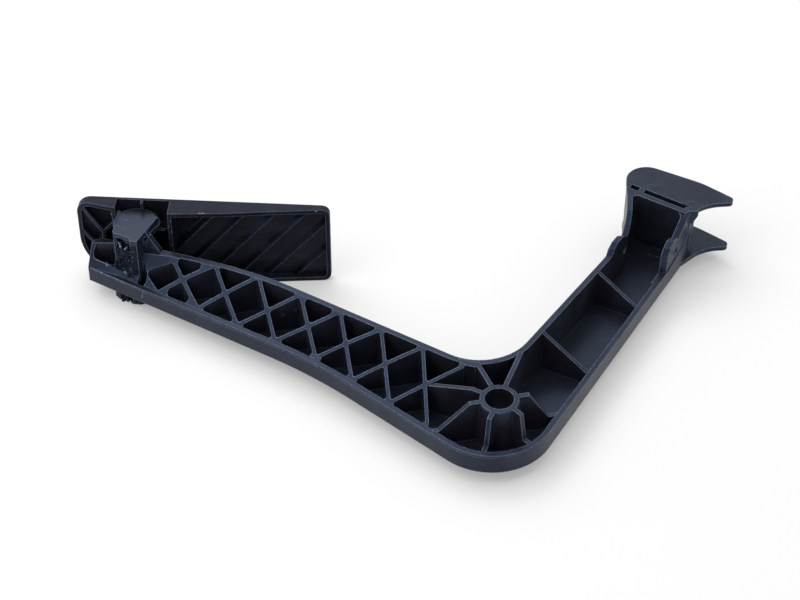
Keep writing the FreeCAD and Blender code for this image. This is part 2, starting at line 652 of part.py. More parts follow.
def pad_shell():
    """The pad's tread and rim wall, with the rim cut to its side profile."""
    corners = [(PAD_LEFT, PAD_BOTTOM), (PAD_RIGHT, PAD_BOTTOM), (PAD_RIGHT, PAD_TOP), (PAD_LEFT, PAD_TOP)]
    d = PAD_WALL
    inside = [(PAD_LEFT + d, PAD_BOTTOM + d), (PAD_RIGHT - d, PAD_BOTTOM + d),
              (PAD_RIGHT - d, PAD_TOP - d), (PAD_LEFT + d, PAD_TOP - d)]
    outer = pad_plate(corners, list(PAD_CORNERS_R), 0.0, PAD_FACE)
    outer = outer.makeFillet(PAD_EDGE_R, [e for e in outer.Edges if e.BoundBox.YMin > PAD_FACE - PAD_EDGE_R])
    hollow = pad_plate(inside, [r - d for r in PAD_CORNERS_R], -1.0, PAD_FACE - PAD_TREAD)
    return outer, hollow


def pad_rim_cutter():
    """What lies behind the rim's side profile."""
    left, right = PAD_LEFT - PAD_OVER, PAD_RIGHT + PAD_OVER
    profile = [V(left, -PAD_OVER, 0), V(left, PAD_RIM[0][1], 0)]
    profile += [V(*p, 0) for p in PAD_RIM]
    profile += [V(right, PAD_RIM[-1][1], 0), V(right, -PAD_OVER, 0)]
    cutter = Part.Face(Part.makePolygon(profile + profile[:1])).extrude(V(0, 0, 2 * SKY))
    cutter.translate(V(0, 0, PAD_BOTTOM - SKY / 2))
    return cutter


def ridges(shift):
    """Slanting sawtooth ridges across the tread, moved by a depth."""
    a = math.radians(RIDGE_ANGLE)
    along = V(math.cos(a), 0, math.sin(a))
    across = V(math.sin(a), 0, -math.cos(a))
    width = RIDGE_PITCH * math.sin(a)
    level = PAD_FACE - PAD_TREAD + shift
    teeth = []
    for k in range(RIDGE_COUNT):
        base = V(RIDGE_FIRST[0] + k * RIDGE_PITCH, level, RIDGE_FIRST[1]) - along * 2 * SKY
        corners = [base + V(0, RIDGE_SINK, 0), base + V(0, -RIDGE_H, 0),
                   base + across * width + V(0, RIDGE_SINK, 0)]
        teeth.append(Part.Face(Part.makePolygon(corners + corners[:1])).extrude(along * 4 * SKY))
    return teeth


def toe_rib(start, end):
    """One upright rib in the pad's short end, from the tread to near the rim."""
    d, n = direction(start, end)
    half = TOE_RIB_T / 2
    corners = [(start[0] + n[0] * half, start[1] + n[1] * half), (end[0] + n[0] * half, end[1] + n[1] * half),
               (end[0] - n[0] * half, end[1] - n[1] * half), (start[0] - n[0] * half, start[1] - n[1] * half)]
    return pad_plate(corners, 0.0, TOE_RIB_W, PAD_FACE - PAD_TREAD / 2)


def bay():
    """The bay round the hinge post: two partitions, a web and a small shelf."""
    parts = []
    for u in PAD_BAY:
        parts.append(Part.makeBox(PAD_PARTITION_T, PAD_FACE - JOIN, PAD_TOP - PAD_BOTTOM,
                                  V(u - PAD_PARTITION_T / 2, 0.0, PAD_BOTTOM)))
    z = POST_H + BAY_WEB_GAP
    parts.append(Part.makeBox(BAY_WEB_T, BAY_WEB_DEPTH + JOIN, PAD_TOP - z,
                              V(BAY_WEB_U - BAY_WEB_T / 2, PAD_FACE - PAD_TREAD - BAY_WEB_DEPTH, z)))
    z, t, w = BAY_SHELF
    parts.append(Part.makeBox(PAD_BAY[1] - BARREL_R - JOIN, PAD_FACE - JOIN - w, t, V(BARREL_R + JOIN, w, z)))
    return parts


def ring(radius, hole, z0, z1):
    """A snap ring round the hinge axis, open to the front."""
    shape = cylinder(radius, z0, z1).cut(cylinder(hole, z0 - 1, z1 + 1))
    a, b = (math.radians(angle) for angle in RING_SPLIT)
    reach = 3 * radius
    wedge = [V(0, 0, 0), V(reach * math.cos(a), reach * math.sin(a), 0),
             V(reach * math.cos(b), reach * math.sin(b), 0)]
    cutter = Part.Face(Part.makePolygon(wedge + wedge[:1])).extrude(V(0, 0, z1 - z0 + 2))
    cutter.translate(V(0, 0, z0 - 1))
    return shape, cutter


def upper_lug():
    """The plate under the post's cap, ending in a snap ring on the upper journal."""
    z0 = BARREL_H + AXIAL_GAP
    z1 = z0 + LUG_T
    hole = JOURNAL_R + RUNNING_GAP
    eye, cutter = ring(RING_R, hole, z0, z1)
    arm = plate(UPPER_LUG, 0.0, z0, z1)
    return arm.fuse(eye).cut([cylinder(hole, z0 - 1, z1 + 1), cutter])


def foot_lug():
    """The thick plate under the arm's floor, ending in a snap ring on the lower journal."""
    z1 = -AXIAL_GAP
    z0 = z1 - FOOT_LUG_H
    hole = JOURNAL_R + RUNNING_GAP
    eye, cutter = ring(FOOT_RING_R, hole, z0, z1)
    arm = Part.makeBox(2 * FOOT_RING_R, PAD_FACE - JOIN, z1 - z0, V(-FOOT_RING_R, 0, z0))
    side = [(FOOT_FINGER_START, z0), (FOOT_FINGER_REACH, z0), (FOOT_FINGER_REACH, z0 + FOOT_FINGER_H),
            (FOOT_FINGER_START, z0 + FOOT_FINGER_H)]
    fingers = [upright((0, 0), polar((0, 0), angle, 1.0), FOOT_FINGER_T, side) for angle in FOOT_FINGERS]
    return arm.multiFuse([eye] + fingers).cut([cylinder(hole, z0 - 1, z1 + 1), cutter])


def foot_pad():
    """The whole pad, turned and moved to the hinge axis."""
    outer, hollow = pad_shell()
    right_box = Part.makeBox(PAD_RIGHT - PAD_BAY[1] - PAD_WALL, 2 * PAD_FACE,
                             PAD_TOP - PAD_BOTTOM - 2 * PAD_WALL, V(PAD_BAY[1], 0, PAD_BOTTOM + PAD_WALL))
    teeth = [tooth.common(right_box) for tooth in ridges(0.0)]
    ribs = [toe_rib(a, b).common(outer) for a, b in TOE_RIBS]
    walls = [shape.common(outer) for shape in bay()]
    notch = Part.makeBox(PAD_BAY[1] - PAD_BAY[0] - PAD_PARTITION_T, PAD_FACE - PAD_TREAD, SKY,
                         V(PAD_BAY[0] + PAD_PARTITION_T / 2, 0, PAD_TOP - BAY_NOTCH_DEPTH))
    shell = outer.cut(hollow).cut(notch)
    body = shell.multiFuse(teeth + ribs + walls).cut(pad_rim_cutter())
    grip = [tooth.common(right_box) for tooth in ridges(PAD_TREAD)]
    body = body.cut(grip)
    body = body.cut(cylinder(JOURNAL_R + RUNNING_GAP, PAD_BOTTOM - 1, 0))
    body = body.multiFuse([upper_lug(), foot_lug()]).removeSplitter()
    body.rotate(V(0, 0, 0), V(0, 0, 1), PAD_ANGLE)
    body.translate(V(*HINGE, 0))
    return body


def arm():
    """The whole arm as one moulding."""
    walls = arm_walls()
    filling, posts = lattice()
    tip, pockets = tip_block(posts)
    body = arm_floor().multiFuse([walls, filling, boss(), tip] + [cross_rib(d) for d in CROSS_RIBS])
    body = body.multiFuse(head())
    body = body.cut(pockets)
    body = body.fuse(hinge_post())
    ears = Part.makeCylinder(EAR_HOLE_R, 2 * EAR_HOLE_Y, V(0, EAR_HOLE_Y, EAR_HOLE_Z), V(1, 0, 0))
    return body.cut([cylinder(BORE_R, -JOIN, ARM_H + JOIN), ears]).removeSplitter()


def main():
    os.makedirs("parts", exist_ok=True)
    for name, shape in (("arm", arm()), ("foot_pad", foot_pad())):
        print(name, shape.isValid(), len(shape.Solids), round(shape.Volume))
        shape.exportStep("parts/" + name + ".step")


main()
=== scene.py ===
"""Looks of the accelerator pedal: materials, wear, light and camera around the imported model.

Everything is in metres, in the model's own frame: Z up along the pivot bore.
"""
import bmesh
import bpy
import math
import random
from mathutils import Matrix, Vector, noise as cloud
from mathutils.bvhtree import BVHTree


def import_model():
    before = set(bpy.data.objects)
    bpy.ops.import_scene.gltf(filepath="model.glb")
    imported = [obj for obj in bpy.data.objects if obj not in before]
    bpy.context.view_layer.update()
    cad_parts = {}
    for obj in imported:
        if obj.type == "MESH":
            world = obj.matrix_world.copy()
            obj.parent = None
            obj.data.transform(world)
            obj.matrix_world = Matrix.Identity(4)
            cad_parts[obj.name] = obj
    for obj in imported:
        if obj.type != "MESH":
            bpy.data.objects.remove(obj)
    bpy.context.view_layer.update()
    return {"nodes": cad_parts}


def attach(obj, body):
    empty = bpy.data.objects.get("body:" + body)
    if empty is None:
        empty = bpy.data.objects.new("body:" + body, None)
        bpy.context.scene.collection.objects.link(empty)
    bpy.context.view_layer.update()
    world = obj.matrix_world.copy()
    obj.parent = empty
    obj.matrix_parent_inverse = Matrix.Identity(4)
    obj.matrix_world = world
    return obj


# The two mouldings, which are both the model's nodes and its bodies
MOULDINGS = ("arm", "foot_pad")

# Camera, fitted to the photograph
CAMERA_AT = (-0.0497, -0.76325, 0.78612)
CAMERA_TILT = 47.8
CAMERA_NEAR = 0.05
LENS_MM = 96.75
SENSOR_MM = 36.0
FRAME_PX = (800, 600)

# Floor under the part: middle and side of the plane, grey and roughness
FLOOR_Z = -0.0082
FLOOR_MIDDLE = (0.0, 2.0)
FLOOR_SIZE = 12.0
FLOOR_GREY = 0.84
FLOOR_ROUGHNESS = 0.85

# Share of plain white that the camera and reflections see in the floor, and the strength of
# the white world where it lights things
WHITE = (1.0, 1.0, 1.0, 1.0)
FLOOR_WHITE = 0.25
WORLD_LIGHT = 0.66

# Soft lamps that face one point: name, place, two sides and power
LAMP_AIM = (-0.05, 0.05, 0.0)
LAMPS = [
    ("back_left", (-0.65, 1.05, 1.4), (1.4, 0.9), 10.0),
    ("top", (-0.2, 0.35, 1.7), (2.2, 1.8), 10.5),
    ("front_left", (-1.2, -0.4, 1.2), (1.1, 1.1), 6.0),
]

# Moulded plastic: linear colour, rounding of the edges in metres, how worn the edges are and how strongly
# they carry a painted highlight, the way the plastic flowed in degrees, and gloss. The last is the
# dustier plastic of the round marks.
ARM_LOOK = dict(colour=(0.0104, 0.0100, 0.0144), edge_radius=0.0007, edge_wear_and_highlight=1.0,
                flow_angle=31.0, gloss=0.35)
PAD_LOOK = dict(colour=(0.0072, 0.0064, 0.0088), edge_radius=0.0009, edge_wear_and_highlight=0.55,
                flow_angle=-3.0, gloss=0.12)
DUSTY_LOOK = dict(ARM_LOOK, colour=(0.020, 0.023, 0.033), edge_radius=0.0005, edge_wear_and_highlight=0.3)

# Torn and scratched plastic, whose pale and grey kinds also colour some pieces as painted highlights:
# linear colours of its dark and pale specks, roughness and gloss
PALE_LOOK = dict(low=(0.09, 0.11, 0.155), high=(0.36, 0.40, 0.50), roughness=0.5, gloss=0.3)
GREY_LOOK = dict(low=(0.030, 0.036, 0.052), high=(0.19, 0.22, 0.29), roughness=0.45, gloss=0.3)
TORN_LOOK = dict(low=(0.0010, 0.0010, 0.0018), high=(0.018, 0.022, 0.036), roughness=0.22, gloss=0.12)

# Linear colours of the film of dust and of the paler edges, which are worn and carry a painted highlight,
# and the tint of the gloss
DUST_COLOUR = (0.055, 0.068, 0.110)
EDGE_WEAR_AND_HIGHLIGHT_COLOUR = (0.215, 0.275, 0.410)
GLOSS_TINT = (0.38, 0.58, 1.0, 1.0)
PLASTIC_IOR = 1.5

# Noise in the plastics, in features per metre, and the stretch of the flow marks
BLOTCH_SCALE = 55.0
STREAK_SCALE = 160.0
PEEL_SCALE = 900.0
SPECK_SCALE = 1400.0
GRAIN_SCALE = 2600.0
STREAK_STRETCH = (0.25, 2.2, 1.0)

# Part of each noise over which dust gathers, edges wear and take their painted highlight, roughness grows
# or specks turn pale
BLOTCH_RANGE = (0.40, 0.72)
STREAK_RANGE = (0.45, 0.8)
PATCH_RANGE = (0.30, 0.62)
SHEEN_RANGE = (0.3, 0.75)
SPECK_RANGE = (0.46, 0.62)

# Most dust that blotches and streaks bring, least and most roughness, and what grain adds to it
BLOTCH_DUST = 0.16
STREAK_DUST = 0.10
ROUGHNESS = (0.27, 0.37)
GRAIN_ROUGHNESS = 0.06

# Bump: strength and depth in metres, and how far the orange peel outweighs the grain
MOULDED_BUMP = (0.22, 0.00012)
SCUFFED_BUMP = (0.8, 0.0005)
PEEL_WEIGHT = 1.6

# Worn edges with a painted highlight: samples, how far the flat and the rounded normal agree where the
# wear and highlight start and where they are full, reach of the shading in edge radii, how open an inner
# and an outer edge are, and the share of the wear and highlight that is left between patches
EDGE_SAMPLES = 6
EDGE_TURN = (0.998, 0.88)
EDGE_SHADE_REACH = 1.6
EDGE_OPEN = (0.70, 0.95)
EDGE_LEAST_WEAR_AND_HIGHLIGHT = 0.3

# The Mix node's sockets for colours, which have the same names as those for numbers
MIX_FIRST, MIX_SECOND, MIX_RESULT = 6, 7, 2

# Sizes below are in millimetres unless they end in PX, which are places in the photograph
MM = 0.001
HINGE = (-192.5, 124.2)

# Beads: angles round the half-round section, share of the width left at the ends, how fast it
# grows from there, and how far ragged beads change in width and wander
BEAD_ANGLES = (-100.0, -50.0, 0.0, 50.0, 100.0)
BEAD_END = 0.25
BEAD_GROWTH = 3.0
BEAD_SWELL = 0.6
BEAD_WANDER = 0.5

# Crumbs: range of sizes, least length, height and most length against the size, and the depth
# and scale of the noise that makes them lumpy
CRUMB_SIZES = (0.5, 1.2)
CRUMB_LEAST_LENGTH = 0.7
CRUMB_HEIGHT = 0.55
CRUMB_STRETCH = 1.5
CRUMB_LUMPS = (0.45, 2.1)
LUMP_SUBDIVISIONS = 2

# Outer wall: plan corners with the radius at each bend, the height of its top at the boss and
# at the tip, and the leg's direction and length
WALL_CORNERS = [(-220.3, 120.2), (-95.7, 45.0), (5.0, -43.6), (110.2, 139.3)]
WALL_RADII = [0.0, 300.0, 33.4, 0.0]
WALL_TOP = 11.8
WALL_TOP_TIP = 9.5
LEG_ANGLE = 32.8
LEG_LENGTH = 223.5

# Lines along the wall: shares of its length where they end, step, drop below the top, width,
# tilt of the flash and how ragged each line is
TIP_FLASH_SHARE = 0.085
LEG_FLASH_SHARE = 0.62
LINE_STEP = 2.0
LINE_SEED = 7
FLASH_DROP = 0.1
FLASH_TILT = 0.35
TIP_FLASH_WIDTH = 0.5
LEG_FLASH_WIDTH = 0.3
PARTING_DROP = 1.4
PARTING_WIDTH = 0.45
TIP_FLASH_RAGGED = 0.5
LEG_FLASH_RAGGED = 0.15
PARTING_RAGGED = 0.1

# Foot of one lattice crossing at the wall's bend: plan corners with the height of the top at
# each, and the height that it stands on
FOOT_FILL = [(-96.9, 48.2, 10.82), (-94.1, 46.4, 10.82), (-91.6, 44.4, 10.82),
             (-90.6, 46.0, 11.45), (-93.0, 48.2, 11.45), (-95.7, 49.9, 11.45)]
FOOT_LOW = 2.4

# Pad: turn in plan, depth of the tread's back, and the slanting ridges on it, which stay in a
# box given as two limits along the pad and two in height. A ramp leads up to each ridge and
# starts a little inside the tread.
PAD_ANGLE = -3.6
TREAD_W = 13.8
RIDGE_FIRST = (40.3, 33.6)
RIDGE_PITCH = 15.7
RIDGE_COUNT = 6
RIDGE_ANGLE = 49.5
RIDGE_H = 1.7
RIDGE_BOX = (19.0, 101.8, -5.6, 40.1)
RAMP_WIDTH = 5.0
RAMP_SINK = 0.1
RAMP_STEPS = 8

# Torn skins in the hinge window: plan line, heights, depth and seed
TORN_SKINS = [
    (((-203.0, 117.2), (-194.9, 113.4)), (7.5, 27.5), 2.2, 3.0),
    (((-194.7, 110.2), (-191.1, 109.3)), (9.5, 33.5), 0.7, 9.0),
]

# Mesh of a skin: step along and up, and the fewest steps
SKIN_STEP = (0.28, 0.32)
SKIN_FEWEST = (6, 10)

# Crumple of a skin: how fast it grows from the pinned sides and ends, creases per millimetre,
# the noise's own settings, its depth, and the share of the depth that is there without it
SKIN_GROWTH = (6.0, 9.0)
CREASE_SCALE = (0.42, 0.26)
CREASE_NOISE = (0.7, 2.1, 5, 0.9, 2.0)
CREASE_DEPTH = 0.42
SKIN_REST = 0.25

# Flecks on the torn skins
FLECK_BOX_PX = [(113.0, 248.0), (133.5, 278.0)]
FLECK_COUNT = 55
FLECK_SIZE = 0.22
FLECK_STRETCH = 4.0
FLECK_PLACE_SEED = 52
FLECK_SHAPE_SEED = 54

# Curled strips at the window's top, coloured pale as a painted glint: plan place, height and the side
# that each leans to. Curl is in half turns, and the start and the drop in strip widths.
HOOKS = [((-201.3, 116.4), 30.9, 1.0), ((-197.2, 114.9), 28.9, -1.0)]
HOOK_SIZE = 1.3
HOOK_CURL = 0.9
HOOK_START = 0.4
HOOK_OUT = 0.5
HOOK_DROP = 3.4
HOOK_FACING = (0.0, -1.0, 0.25)
HOOK_RAGGED = 0.45
HOOK_STEPS = 8

# End of the pad's upper snap ring, pale as a painted highlight on its top: plan corners and heights
LUG_TIP = [(-207.4, 136.2), (-202.5, 139.6), (-201.4, 133.8)]
LUG_TIP_Z = (33.2, 34.3)

# Torn edge of the pad's lower ring: lumps on an arc about the hinge, with the depth and scale
# of the noise in each, its step from one lump to the next, and their least height off the floor
BURR_COUNT = 15
BURR_ANGLES = (-140.0, -82.0)
BURR_RADIUS = 14.2
BURR_SPREAD = 0.9
BURR_Z = (-7.6, -5.2)
BURR_SIZES = (1.1, 1.9)
BURR_LUMPS = (0.5, 0.9)
BURR_NEXT = 3.0
BURR_CLEAR = 0.15
BURR_SEED = 11

# Rim round the hole in the right ear, light grey as a painted highlight
EAR_HOLE = (102.25, 124.6, 18.0)
EAR_RIM_R = 2.9
EAR_RIM_ANGLES = (150.0, 400.0)
EAR_RIM_WIDTH = 0.9
EAR_RIM_RAGGED = 0.1
EAR_RIM_STEPS = 24
EAR_RIM_SEED = 61

# Scratches and chips: piece, moulding, width, look, seed and places in the photograph
CAP_SCRATCH_WIDTH = 0.17
SCRATCH_STEPS = 5
SCRATCH_RAGGED = 0.6
SCRATCHES_PX = [
    ("wall_crack", "arm", 0.45, "pale", 5,
     [(143.8, 290.0), (142.6, 293.5), (142.4, 295.5), (141.0, 299.5)]),
    ("cap_scratch_1", "arm", CAP_SCRATCH_WIDTH, "pale", 20,
     [(115.5, 224.5), (121.0, 227.0), (128.0, 229.0)]),
    ("cap_scratch_2", "arm", CAP_SCRATCH_WIDTH, "pale", 21, [(118.0, 231.0), (120.5, 231.6)]),
    ("cap_scratch_3", "arm", CAP_SCRATCH_WIDTH, "pale", 22, [(136.0, 230.5), (140.0, 231.5)]),
    ("cap_scratch_4", "arm", CAP_SCRATCH_WIDTH, "pale", 23, [(124.0, 219.5), (130.0, 220.6)]),
    ("head_floor_line", "arm", 0.3, "grey", 29, [(646.0, 253.5), (655.0, 256.2), (664.0, 259.5)]),
    ("pad_rim_streak", "foot_pad", 0.45, "pale", 31, [(197.5, 213.2), (202.0, 213.5), (206.5, 213.4)]),
    # The bead on the shelf's edge is pale as a painted highlight along that edge
    ("shelf_edge_highlight", "foot_pad", 0.4, "pale", 32, [(157.5, 230.2), (162.0, 229.8), (166.5, 230.8)]),
    ("post_chip", "arm", 0.9, "pale", 43, [(106.3, 261.5), (106.8, 264.5), (107.8, 267.0)]),
    ("post_sliver", "arm", 0.7, "pale", 44,
     [(121.0, 270.5), (124.5, 272.0), (128.0, 274.5), (133.5, 275.0)]),
]

# Crumbs on the tip's shelf, scattered about a line: piece, look, size and seed
SHELF_CRUMBS = [("torn_crumbs_1", "torn", 1.25, 46), ("torn_crumbs_2", "pale", 0.34, 47)]
SHELF_LINE_PX = [(112.0, 262.0), (134.0, 277.0)]
SHELF_SPREAD_PX = 1.5
SHELF_COUNT = 34
SHELF_SEED = 45

# Pale crumbs on the pad; those along the bay's partition are painted glints on its edge
PAD_CRUMBS_AND_GLINTS_PX = [(170.6, 221.0), (171.5, 232.0), (316.0, 211.3), (232.5, 242.0), (166.0, 218.0),
                 (169.0, 226.5), (172.0, 245.0)]
PAD_CRUMB_SIZE = 0.4
PAD_CRUMB_SEED = 42

# Round marks in the arm: piece, place in the photograph, half length and half width, height
# and look. The rim of each ends a little below the surface.
EJECTOR_SIZE = (1.5, 1.5)
EJECTOR_H = 0.35
SINK_H = 0.30
ROUND_MARKS_PX = [
    ("ejector_mark_1", (283.5, 315.5), EJECTOR_SIZE, EJECTOR_H, "dusty"),
    ("ejector_mark_2", (296.0, 310.0), EJECTOR_SIZE, EJECTOR_H, "dusty"),
    ("sink_mark_1", (652.0, 187.0), (5.5, 2.8), SINK_H, "arm"),
    ("sink_mark_2", (690.0, 203.0), (4.5, 2.0), SINK_H, "arm"),
]
MARK_RINGS = 7
MARK_SPOKES = 28
MARK_SINK = 0.03


def node_tree(material):
    """Empty node tree of a material, with its output node."""
    material.use_nodes = True
    tree = material.node_tree
    tree.nodes.clear()
    output = tree.nodes.new("ShaderNodeOutputMaterial")
    return tree, output


def add(tree, kind, **values):
    """A node with its properties or sockets set by name."""
    node = tree.nodes.new(kind)
    for name, value in values.items():
        if name in node.inputs:
            node.inputs[name].default_value = value
        else:
            setattr(node, name, value)
    return node


def noise(tree, place, scale, detail=3.0, roughness=0.55):
    """Noise texture in object space, scale in features per metre."""
    node = add(tree, "ShaderNodeTexNoise", Scale=scale, Detail=detail, Roughness=roughness)
    tree.links.new(place, node.inputs["Vector"])
    return node.outputs["Fac"]


def span(tree, value, low, high, to_low=0.0, to_high=1.0):
    """A value mapped smoothly from one range to another."""
    node = add(tree, "ShaderNodeMapRange", interpolation_type="SMOOTHSTEP")
    node.inputs["From Min"].default_value = low
    node.inputs["From Max"].default_value = high
    node.inputs["To Min"].default_value = to_low
    node.inputs["To Max"].default_value = to_high
    tree.links.new(value, node.inputs["Value"])
    return node.outputs["Result"]


def math_node(tree, operation, a, b):
    """One math node on two sockets or numbers."""
    node = add(tree, "ShaderNodeMath", operation=operation)
    for socket, value in zip(node.inputs, (a, b)):
        if isinstance(value, (int, float)):
            socket.default_value = value
        else:
            tree.links.new(value, socket)
    return node.outputs[0]


def mix_colour(tree, factor, a, b):
    """Mix of two colours by a factor; a and b are colours or sockets."""
    node = add(tree, "ShaderNodeMix", data_type="RGBA")
    tree.links.new(factor, node.inputs["Factor"])
    for socket, value in ((node.inputs[MIX_FIRST], a), (node.inputs[MIX_SECOND], b)):
        if isinstance(value, tuple):
            socket.default_value = (*value, 1.0)
        else:
            tree.links.new(value, socket)
    return node.outputs[MIX_RESULT]


def rounded_normal(tree, radius):
    """Normal with small rounded edges, and a mask that is 1 along the outer edges alone."""
    bevel = add(tree, "ShaderNodeBevel", samples=EDGE_SAMPLES, Radius=radius)
    geometry = add(tree, "ShaderNodeNewGeometry")
    dot = add(tree, "ShaderNodeVectorMath", operation="DOT_PRODUCT")
    tree.links.new(bevel.outputs["Normal"], dot.inputs[0])
    tree.links.new(geometry.outputs["Normal"], dot.inputs[1])
    edge = span(tree, dot.outputs["Value"], *EDGE_TURN)
    shade = add(tree, "ShaderNodeAmbientOcclusion", samples=EDGE_SAMPLES, only_local=True,
                Distance=radius * EDGE_SHADE_REACH)
    outer_edge = math_node(tree, "MULTIPLY", edge, span(tree, shade.outputs["AO"], *EDGE_OPEN))
    return bevel.outputs["Normal"], outer_edge


def bumped(tree, height, strength, depth):
    """A bump node fed by a height; depth is in metres."""
    bump = add(tree, "ShaderNodeBump", Strength=strength, Distance=depth)
    tree.links.new(height, bump.inputs["Height"])
    return bump


def plastic_shader(tree, output, base, normal, gloss):
    """The shader that both kinds of plastic share, linked to the material's output."""
    shader = add(tree, "ShaderNodeBsdfPrincipled")
    shader.inputs["Specular IOR Level"].default_value = gloss
    shader.inputs["Specular Tint"].default_value = GLOSS_TINT
    tree.links.new(base, shader.inputs["Base Color"])
    tree.links.new(normal, shader.inputs["Normal"])
    tree.links.new(shader.outputs["BSDF"], output.inputs["Surface"])
    return shader


def moulded_plastic(name, colour, edge_radius, edge_wear_and_highlight, flow_angle, gloss):
    """Satin glass-filled nylon: fine grain, faint flow marks, dust film, and paler outer edges that are
    partly wear and partly a painted highlight.
    """
    material = bpy.data.materials.new(name)
    tree, output = node_tree(material)
    place = add(tree, "ShaderNodeTexCoord").outputs["Object"]
    normal, edge = rounded_normal(tree, edge_radius)

    blotch = noise(tree, place, BLOTCH_SCALE, detail=4.0)
    flow = add(tree, "ShaderNodeMapping", Rotation=(0.0, 0.0, math.radians(flow_angle)),
               Scale=STREAK_STRETCH)
    tree.links.new(place, flow.inputs["Vector"])
    streaks = noise(tree, flow.outputs["Vector"], STREAK_SCALE, detail=5.0, roughness=0.6)
    grain = noise(tree, place, GRAIN_SCALE, detail=2.0)
    orange_peel = noise(tree, place, PEEL_SCALE)

    blotch_dust = math_node(tree, "MULTIPLY", span(tree, blotch, *BLOTCH_RANGE), BLOTCH_DUST)
    streak_dust = math_node(tree, "MULTIPLY", span(tree, streaks, *STREAK_RANGE), STREAK_DUST)
    dust = math_node(tree, "ADD", blotch_dust, streak_dust)
    patches = span(tree, orange_peel, *PATCH_RANGE, EDGE_LEAST_WEAR_AND_HIGHLIGHT * edge_wear_and_highlight, edge_wear_and_highlight)
    # Outer edges turn paler: partly wear, partly a painted highlight where rounded edges catch light
    wear_and_highlight = math_node(tree, "MULTIPLY", edge, patches)
    base = mix_colour(tree, wear_and_highlight, mix_colour(tree, dust, colour, DUST_COLOUR), EDGE_WEAR_AND_HIGHLIGHT_COLOUR)

    rough = span(tree, blotch, *SHEEN_RANGE, *ROUGHNESS)
    rough = math_node(tree, "ADD", rough, math_node(tree, "MULTIPLY", grain, GRAIN_ROUGHNESS))

    height = math_node(tree, "ADD", grain, math_node(tree, "MULTIPLY", orange_peel, PEEL_WEIGHT))
    bump = bumped(tree, height, *MOULDED_BUMP)
    tree.links.new(normal, bump.inputs["Normal"])

    shader = plastic_shader(tree, output, base, bump.outputs["Normal"], gloss)
    shader.inputs["IOR"].default_value = PLASTIC_IOR
    tree.links.new(rough, shader.inputs["Roughness"])
    return material


def scuffed_plastic(name, low, high, roughness, gloss):
    """Torn or scratched plastic, in its pale and grey kinds also a painted highlight: grain broken into
    pale and dark specks, with a rough surface.
    """
    material = bpy.data.materials.new(name)
    tree, output = node_tree(material)
    place = add(tree, "ShaderNodeTexCoord").outputs["Object"]
    specks = noise(tree, place, SPECK_SCALE, detail=4.0, roughness=0.65)
    base = mix_colour(tree, span(tree, specks, *SPECK_RANGE), low, high)
    bump = bumped(tree, specks, *SCUFFED_BUMP)
    shader = plastic_shader(tree, output, base, bump.outputs["Normal"], gloss)
    shader.inputs["Roughness"].default_value = roughness
    return material


def make_looks():
    """Every plastic in the scene, by the name that the tables above give it."""
    return {
        "arm": moulded_plastic("arm_plastic", **ARM_LOOK),
        "foot_pad": moulded_plastic("pad_plastic", **PAD_LOOK),
        "pale": scuffed_plastic("pale_scuff_and_highlight", **PALE_LOOK),
        "grey": scuffed_plastic("grey_scuff_and_highlight", **GREY_LOOK),
        "dusty": moulded_plastic("dusty_plastic", **DUSTY_LOOK),
        "torn": scuffed_plastic("torn_dark", **TORN_LOOK),
    }


def dress_nodes(frame, looks):
    """Give the two mouldings their materials."""
    for name in MOULDINGS:
        mesh = frame["nodes"][name].data
        mesh.materials.clear()
        mesh.materials.append(looks[name])


def make_piece(name, build, material, body, smooth=True):
    """A new mesh piece from a bmesh, dressed and riding on a body; the bmesh is freed."""
    mesh = bpy.data.meshes.new(name)
    build.to_mesh(mesh)
    build.free()
    for face in mesh.polygons:
        face.use_smooth = smooth
    mesh.materials.append(material)
    piece = bpy.data.objects.new(name, mesh)
    bpy.context.collection.objects.link(piece)
    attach(piece, body)
    return piece


class Surface:
    """A piece's surface, met by the line of sight through a place in the photograph."""

    def __init__(self, node):
        mesh = node.data
        corners = [v.co.copy() for v in mesh.vertices]
        self.tree = BVHTree.FromPolygons(corners, [tuple(p.vertices) for p in mesh.polygons])

    def at(self, pixel):
        """Point and normal of the surface behind a pixel, or None twice where it isn't met."""
        tilt = math.radians(CAMERA_TILT)
        reach = LENS_MM / SENSOR_MM * FRAME_PX[0]
        forward = Vector((0.0, math.sin(tilt), -math.cos(tilt)))
        up = Vector((0.0, math.cos(tilt), math.sin(tilt)))
        right = Vector((1.0, 0.0, 0.0))
        ray = forward * reach + right * (pixel[0] - FRAME_PX[0] / 2) - up * (pixel[1] - FRAME_PX[1] / 2)
        point, normal, _, _ = self.tree.ray_cast(Vector(CAMERA_AT), ray.normalized())
        return point, normal


def bead(name, points, normals, width, material, body, ragged, seed):
    """A low half-round bead along points on a surface, thin at both ends."""
    chance = random.Random(seed)
    build = bmesh.new()
    rings = []
    last = len(points) - 1
    for i, (point, normal) in enumerate(zip(points, normals)):
        along = (points[min(i + 1, last)] - points[max(i - 1, 0)]).normalized()
        side = along.cross(normal).normalized()
        share = min(1.0, BEAD_GROWTH * min(i, last - i) / last + BEAD_END)
        half = width / 2 * share * (1.0 + ragged * chance.uniform(-BEAD_SWELL, BEAD_SWELL))
        centre = point + side * width * ragged * chance.uniform(-BEAD_WANDER, BEAD_WANDER)
        ring = []
        for angle in BEAD_ANGLES:
            a = math.radians(angle)
            ring.append(build.verts.new(centre + side * half * math.sin(a) + normal * half * math.cos(a)))
        rings.append(ring)
    for first, second in zip(rings, rings[1:]):
        for k in range(len(first) - 1):
            build.faces.new((first[k], first[k + 1], second[k + 1], second[k]))
    for ring in (rings[0], rings[-1]):
        build.faces.new(ring)
    bmesh.ops.recalc_face_normals(build, faces=build.faces)
    return make_piece(name, build, material, body)


